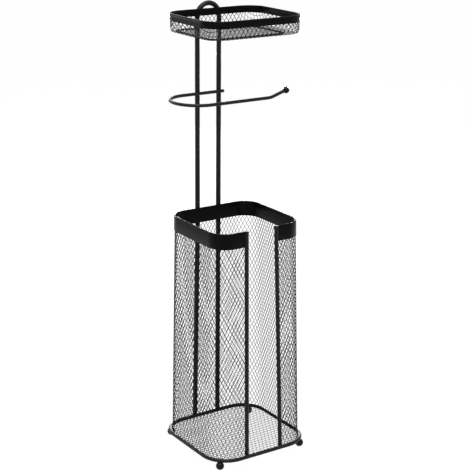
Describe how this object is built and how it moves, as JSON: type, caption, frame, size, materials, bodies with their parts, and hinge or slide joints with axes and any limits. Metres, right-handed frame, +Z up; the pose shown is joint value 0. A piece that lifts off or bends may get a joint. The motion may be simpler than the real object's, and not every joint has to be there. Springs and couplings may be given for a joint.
{
  "type": "toilet roll storage holder",
  "caption": "Free-standing black steel toilet roll stand: tapered mesh basket with a front slot, hairpin wire frame, open roll arm and a mesh tray on top.",
  "frame": {"origin": "on the floor, under the middle of the base ring", "axes": "+Z up, +X to the user's right, the basket's slot faces -Y"},
  "size_m": [0.162, 0.158, 0.6173],
  "materials": {
    "wire_coat": "satin black powder coat on steel wire",
    "mesh_coat": "satin black powder coat on expanded steel mesh",
    "band_coat": "satin black powder coat on folded steel strip",
    "ball_coat": "semi-gloss black coat on steel balls"
  },
  "bodies": {
    "root": {"base_ring": "wire_coat", "foot_front_left": "ball_coat", "foot_front_right": "ball_coat", "foot_back_left": "ball_coat", "foot_back_right": "ball_coat", "base_floor_mesh": "mesh_coat", "basket_wall_mesh": "mesh_coat", "basket_rim_band": "band_coat", "slot_post_left": "wire_coat", "slot_post_right": "wire_coat", "back_frame": "wire_coat", "roll_arm": "wire_coat", "arm_tip_ball": "ball_coat", "tray_support_ring": "wire_coat", "tray_mesh_pan": "mesh_coat", "tray_rim_band": "band_coat"}
  },
  "joints": []
}
